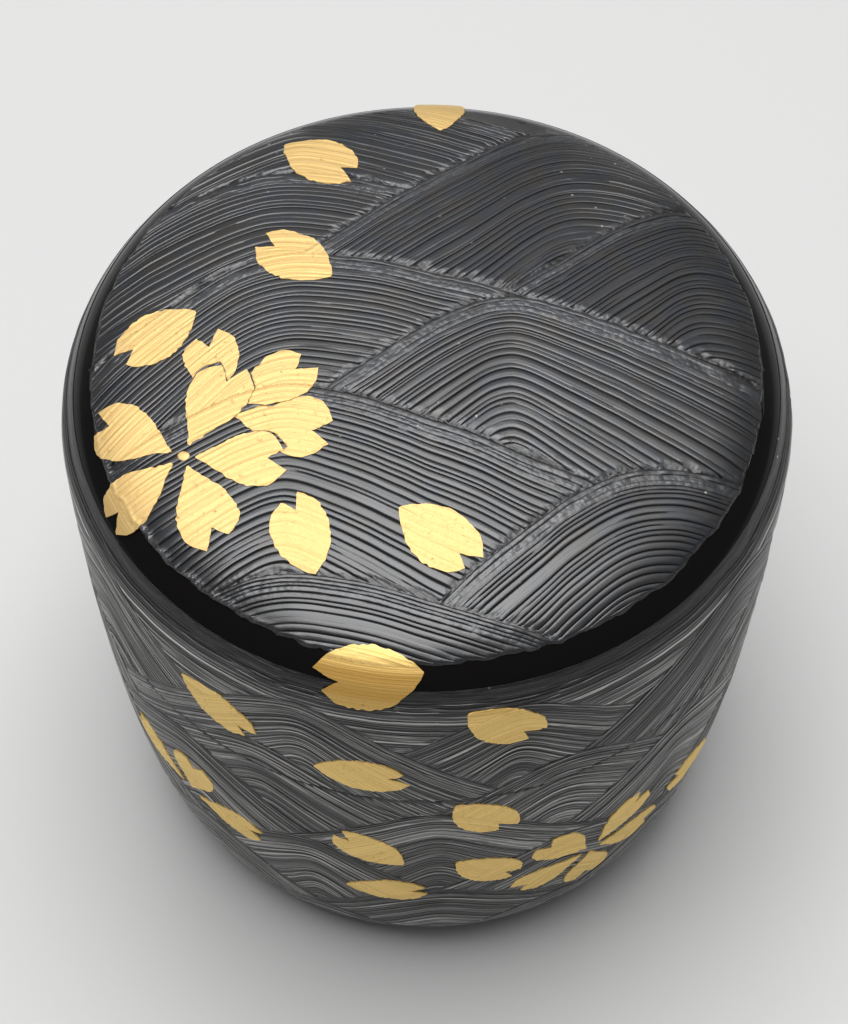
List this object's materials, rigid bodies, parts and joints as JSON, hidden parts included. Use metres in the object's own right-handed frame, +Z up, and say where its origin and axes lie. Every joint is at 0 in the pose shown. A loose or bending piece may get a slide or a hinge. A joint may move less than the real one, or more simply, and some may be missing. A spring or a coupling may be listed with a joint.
{
  "type": "lidded tea caddy",
  "caption": "Round lacquered caddy for powdered tea: a turned cup with a low upstand and a lift-off lid, wave-combed outside and scattered with gold cherry petals.",
  "frame": {"origin": "centre of the foot on the table, at the bottom of the closed caddy", "axes": "+Z up along the turning axis; -Y towards the viewer of the picture, so the blossom on the crown is at -X -Y"},
  "size_m": [0.0668, 0.0669, 0.068],
  "materials": {
    "combed_lacquer": "black lacquer combed into fine raised ridges, satin gloss with a soft grey sheen",
    "ground_lacquer": "smooth black lacquer, polished to a deep gloss",
    "lining_lacquer": "smooth black lacquer inside, soft gloss",
    "turned_wood": "thin turned hardwood, hidden under the lacquer",
    "gold_lacquer": "pale gold powder laid in lacquer, satin, with the ridges showing through"
  },
  "bodies": {
    "body": {"body_side_combed_lacquer": "combed_lacquer", "body_ground_lacquer": "ground_lacquer", "body_wood_core": "turned_wood", "body_lining_lacquer": "lining_lacquer", "foot_lacquer": "ground_lacquer", "body_petal_high": "gold_lacquer", "body_petal_front": "gold_lacquer", "body_petal_low": "gold_lacquer", "body_petal_middle": "gold_lacquer", "body_petal_right": "gold_lacquer", "body_blossom_petal_1": "gold_lacquer", "body_blossom_petal_2": "gold_lacquer", "body_blossom_petal_3": "gold_lacquer", "body_blossom_petal_4": "gold_lacquer", "body_blossom_petal_5": "gold_lacquer", "left_blossom_petal_1": "gold_lacquer", "left_blossom_petal_2": "gold_lacquer", "left_blossom_petal_3": "gold_lacquer"},
    "lid": {"lid_crown_combed_lacquer": "combed_lacquer", "lid_side_combed_lacquer": "combed_lacquer", "lid_ground_lacquer": "ground_lacquer", "lid_wood_core": "turned_wood", "lid_lining_lacquer": "lining_lacquer", "crown_petal_back": "gold_lacquer", "crown_petal_rear_left": "gold_lacquer", "crown_petal_middle": "gold_lacquer", "crown_petal_left": "gold_lacquer", "crown_petal_front_left": "gold_lacquer", "crown_petal_front": "gold_lacquer", "crown_blossom_petal_1": "gold_lacquer", "crown_blossom_petal_2": "gold_lacquer", "crown_blossom_petal_3": "gold_lacquer", "crown_blossom_petal_4": "gold_lacquer", "crown_blossom_petal_5": "gold_lacquer", "crown_blossom_heart": "gold_lacquer", "rear_blossom_petal_1": "gold_lacquer", "rear_blossom_petal_2": "gold_lacquer", "rear_blossom_petal_3": "gold_lacquer", "shoulder_petal": "gold_lacquer", "lid_petal_right": "gold_lacquer", "lid_petal_left": "gold_lacquer", "lid_petal_front": "gold_lacquer"}
  },
  "joints": [
    {"name": "lid_lift", "type": "slide", "parent": "body", "child": "lid", "axis": [0, 0, 1], "range_m": [0, 0.04]}
  ]
}
